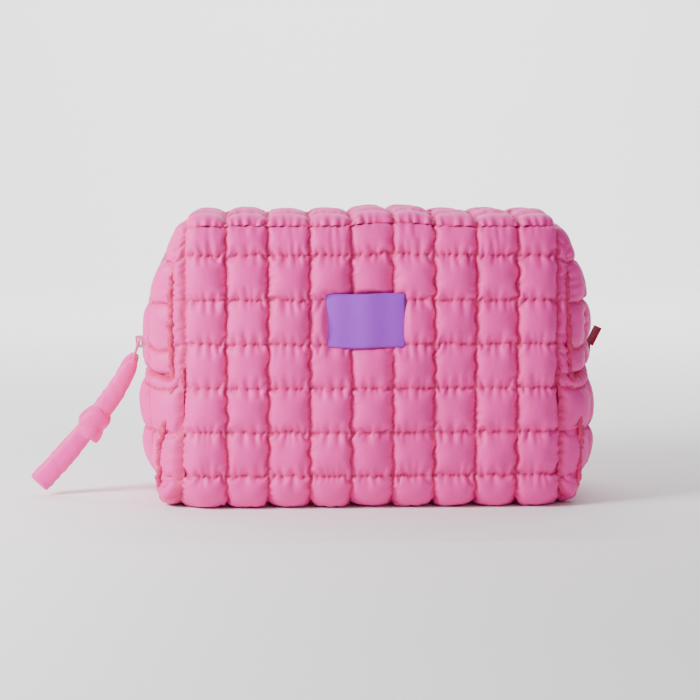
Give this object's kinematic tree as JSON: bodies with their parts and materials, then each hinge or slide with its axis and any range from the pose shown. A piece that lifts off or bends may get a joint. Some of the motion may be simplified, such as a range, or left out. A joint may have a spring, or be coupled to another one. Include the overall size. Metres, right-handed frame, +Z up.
{
  "type": "makeup bag",
  "caption": "Boxy quilted makeup bag with a zip over the top and ends, two top panels that open outwards, and a knotted fabric puller.",
  "frame": {"origin": "centre of the flat base of the bag, on the surface it stands on", "axes": "+X along the length, with the zip's slider at the -X end; -Y is the front, which carries the label; +Z up"},
  "size_m": [0.3111, 0.1152, 0.1569],
  "materials": {
    "quilted_nylon": "puffy quilted nylon with a slight satin sheen",
    "wadding": "white polyester wadding",
    "lining_cloth": "plain lining cloth",
    "zip_tape": "woven zip tape",
    "zip_teeth": "nylon zip elements",
    "painted_zinc": "pink enamelled metal",
    "tab_cloth": "folded dark red cloth",
    "label_ribbon": "woven satin ribbon, left blank",
    "binding_tape": "bias binding",
    "puller_nylon": "stuffed nylon tube"
  },
  "bodies": {
    "bag": {"outer_wrap": "quilted_nylon", "left_lower_end": "quilted_nylon", "right_lower_end": "quilted_nylon", "left_front_shoulder": "quilted_nylon", "left_back_shoulder": "quilted_nylon", "right_front_shoulder": "quilted_nylon", "right_back_shoulder": "quilted_nylon", "wrap_wadding": "wadding", "left_end_wadding": "wadding", "right_end_wadding": "wadding", "bag_lining": "lining_cloth", "left_front_tape": "zip_tape", "left_back_tape": "zip_tape", "right_front_tape": "zip_tape", "right_back_tape": "zip_tape", "left_front_teeth": "zip_teeth", "left_back_teeth": "zip_teeth", "right_front_teeth": "zip_teeth", "right_back_teeth": "zip_teeth", "open_end_stops": "painted_zinc", "closed_end_stop": "painted_zinc", "zip_end_tab": "tab_cloth", "side_label": "label_ribbon", "left_front_binding": "binding_tape", "left_back_binding": "binding_tape", "right_front_binding": "binding_tape", "right_back_binding": "binding_tape", "left_end_binding": "binding_tape", "right_end_binding": "binding_tape"},
    "front_flap": {"front_top_panel": "quilted_nylon", "front_top_wadding": "wadding", "front_top_lining": "lining_cloth", "front_top_tape": "zip_tape", "front_top_teeth": "zip_teeth"},
    "back_flap": {"back_top_panel": "quilted_nylon", "back_top_wadding": "wadding", "back_top_lining": "lining_cloth", "back_top_tape": "zip_tape", "back_top_teeth": "zip_teeth"},
    "slider": {"slider_body": "painted_zinc", "slider_bridge": "painted_zinc"},
    "tab": {"pull_tab": "painted_zinc"},
    "puller": {"puller_cover": "puller_nylon", "puller_filler": "wadding"}
  },
  "joints": [
    {"name": "front_flap_fold", "type": "hinge", "parent": "bag", "child": "front_flap", "pos_m": [0, -0.048, 0.147], "axis": [1, 0, 0], "range_deg": [0, 95]},
    {"name": "back_flap_fold", "type": "hinge", "parent": "bag", "child": "back_flap", "pos_m": [0, 0.048, 0.147], "axis": [-1, 0, 0], "range_deg": [0, 95]},
    {"name": "slider_travel", "type": "hinge", "parent": "bag", "child": "slider", "pos_m": [-0.022, 0, 0.088], "axis": [0, 1, 0], "range_deg": [0, 36], "deforming": ["left_front_teeth", "left_back_teeth"]},
    {"name": "tab_swing", "type": "hinge", "parent": "slider", "child": "tab", "pos_m": [-0.12582, 0, 0.08577], "axis": [0, 1, 0], "range_deg": [0, 70]},
    {"name": "puller_swing", "type": "hinge", "parent": "tab", "child": "puller", "pos_m": [-0.12907, 0, 0.07631], "axis": [0, 1, 0], "range_deg": [-1, 72]}
  ]
}
